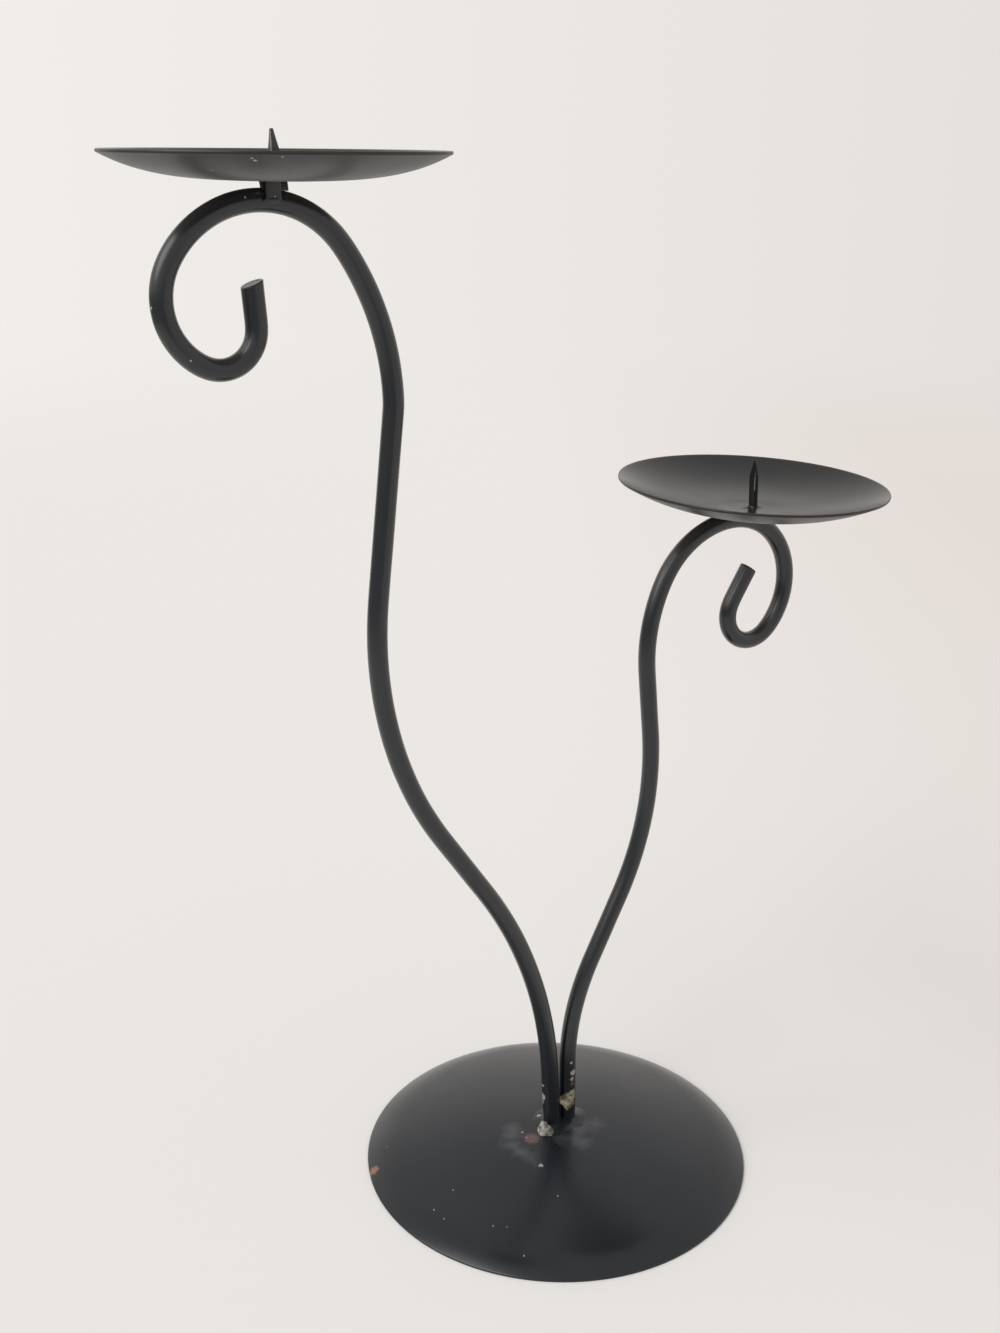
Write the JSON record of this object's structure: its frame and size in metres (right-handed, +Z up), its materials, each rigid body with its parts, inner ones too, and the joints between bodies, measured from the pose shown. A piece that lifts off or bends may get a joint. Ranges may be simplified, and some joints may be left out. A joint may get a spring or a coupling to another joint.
{
  "type": "two-armed pillar candle stand",
  "caption": "Table-top stand on a domed round base: bent round bars lean apart, curl into scrolls and each carry a shallow candle dish with a spike.",
  "frame": {"origin": "on the table, under the middle of the stand's box", "axes": "+Z up; +X from the tall arm towards the short arm, along the upright plane both arms lie in; -Y is the side that the spikes' strips are lapped on, towards the viewer of the picture"},
  "size_m": [0.2854, 0.1516, 0.3903],
  "materials": {
    "base_paint": "satin black paint on a pressed steel dome",
    "bar_paint": "satin black paint on bent round steel bar",
    "dish_paint": "satin black paint on pressed steel sheet",
    "spike_paint": "satin black paint on folded steel strip",
    "weld_paint": "rough weld, its black paint chipped to pale primer"
  },
  "bodies": {
    "root": {"base_dome": "base_paint", "tall_stem": "bar_paint", "short_stem": "bar_paint", "tall_plate": "dish_paint", "short_plate": "dish_paint", "tall_spike": "spike_paint", "short_spike": "spike_paint", "foot_weld": "weld_paint", "bridge_weld": "weld_paint", "tall_seat_weld": "weld_paint", "short_seat_weld": "weld_paint"}
  },
  "joints": []
}
